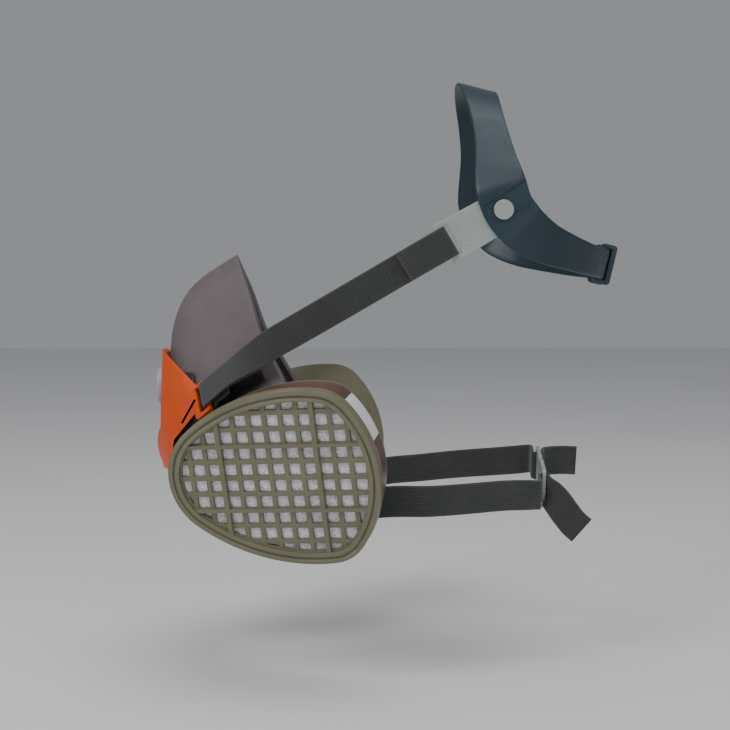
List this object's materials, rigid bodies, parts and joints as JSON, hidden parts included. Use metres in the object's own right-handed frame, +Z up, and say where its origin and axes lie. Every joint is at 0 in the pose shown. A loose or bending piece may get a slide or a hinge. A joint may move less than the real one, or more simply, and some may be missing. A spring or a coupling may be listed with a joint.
{
  "type": "half-mask respirator",
  "caption": "Half-mask respirator with a silicone facepiece, two twist-on filter cartridges, a front exhalation valve and an elastic head and neck harness.",
  "frame": {"origin": "middle of the face opening, on the plane of symmetry, level with the upper lip", "axes": "+Y points back through the wearer's head, +X to the wearer's left, +Z up"},
  "size_m": [0.2154, 0.2489, 0.2479],
  "materials": {
    "silicone": "matte mauve-grey moulded silicone",
    "black_plastic": "near-black satin moulding",
    "orange_plastic": "orange satin moulding",
    "badge_grey": "blank light grey badge",
    "gasket_rubber": "black rubber ring",
    "flap_silicone": "thin translucent silicone",
    "olive_plastic": "olive-grey satin moulding",
    "felt": "white retention felt",
    "carbon": "loose activated carbon granules",
    "nonwoven": "white nonwoven particle filter",
    "label_brown": "blank brown printed band",
    "label_white": "blank white label",
    "webbing": "charcoal woven elastic",
    "clear_plastic": "milky clear polypropylene",
    "teal_plastic": "dark blue-teal satin moulding"
  },
  "bodies": {
    "mask": {"facepiece": "silicone", "front_frame": "black_plastic", "harness_yoke": "orange_plastic", "front_badge": "badge_grey", "exhalation_valve_seat": "black_plastic", "exhalation_cover": "orange_plastic", "bayonet_port_left": "black_plastic", "bayonet_port_right": "black_plastic", "port_gasket_left": "gasket_rubber", "port_gasket_right": "gasket_rubber", "upper_strap_left": "webbing", "upper_strap_right": "webbing", "lower_strap_left": "webbing", "lower_strap_right": "webbing"},
    "inhalation_valve_left": {"inhalation_flap_left": "flap_silicone"},
    "inhalation_valve_right": {"inhalation_flap_right": "flap_silicone"},
    "exhalation_valve": {"exhalation_flap": "flap_silicone"},
    "cartridge_left": {"cartridge_case_left": "olive_plastic", "cartridge_grille_left": "olive_plastic", "bayonet_collar_left": "olive_plastic", "retention_felt_left": "felt", "carbon_bed_left": "carbon", "prefilter_left": "nonwoven", "label_band_left": "label_brown", "label_patch_left": "label_white", "label_end_left": "label_brown"},
    "cartridge_right": {"cartridge_case_right": "olive_plastic", "cartridge_grille_right": "olive_plastic", "bayonet_collar_right": "olive_plastic", "retention_felt_right": "felt", "carbon_bed_right": "carbon", "prefilter_right": "nonwoven", "label_band_right": "label_brown", "label_patch_right": "label_white", "label_end_right": "label_brown"},
    "strap_tabs": {"buckle_tab_left": "clear_plastic", "buckle_tab_right": "clear_plastic", "upper_strap_tail_left": "webbing", "upper_strap_tail_right": "webbing"},
    "cradle": {"head_cradle": "teal_plastic", "rear_clip": "teal_plastic"},
    "neck_clasp": {"clasp_hook": "clear_plastic", "clasp_loop": "clear_plastic", "lower_strap_tail_left": "webbing", "lower_strap_tail_right": "webbing"}
  },
  "joints": [
    {"name": "inhalation_flap_lift_left", "type": "slide", "parent": "mask", "child": "inhalation_valve_left", "axis": [-0.933, 0.25, 0.2588], "range_m": [0, 0.0015], "stiffness_N_per_m": 30, "springref_m": -0.0005},
    {"name": "inhalation_flap_lift_right", "type": "slide", "parent": "mask", "child": "inhalation_valve_right", "axis": [0.933, 0.25, 0.2588], "range_m": [0, 0.0015], "stiffness_N_per_m": 30, "springref_m": -0.0005},
    {"name": "exhalation_flap_lift", "type": "slide", "parent": "mask", "child": "exhalation_valve", "axis": [0, -0.9945, -0.1045], "range_m": [0, 0.0008], "stiffness_N_per_m": 30, "springref_m": -0.0005},
    {"name": "cartridge_twist_left", "type": "hinge", "parent": "mask", "child": "cartridge_left", "pos_m": [0.046, -0.024, -0.034], "axis": [0.933, -0.25, -0.2588], "range_deg": [0, 60]},
    {"name": "cartridge_twist_right", "type": "hinge", "parent": "mask", "child": "cartridge_right", "pos_m": [-0.046, -0.024, -0.034], "axis": [-0.933, -0.25, -0.2588], "range_deg": [0, 60]},
    {"name": "upper_strap_stretch", "type": "slide", "parent": "mask", "child": "strap_tabs", "axis": [0, 0.866, 0.5], "range_m": [0, 0.015], "stiffness_N_per_m": 200, "springref_m": -0.02},
    {"name": "cradle_tilt", "type": "hinge", "parent": "strap_tabs", "child": "cradle", "pos_m": [0, 0.1137, 0.0912], "axis": [1, 0, 0], "range_deg": [-16, 16]},
    {"name": "neck_strap_stretch", "type": "slide", "parent": "mask", "child": "neck_clasp", "axis": [0, 1, 0], "range_m": [0, 0.015], "stiffness_N_per_m": 200, "springref_m": -0.02}
  ]
}
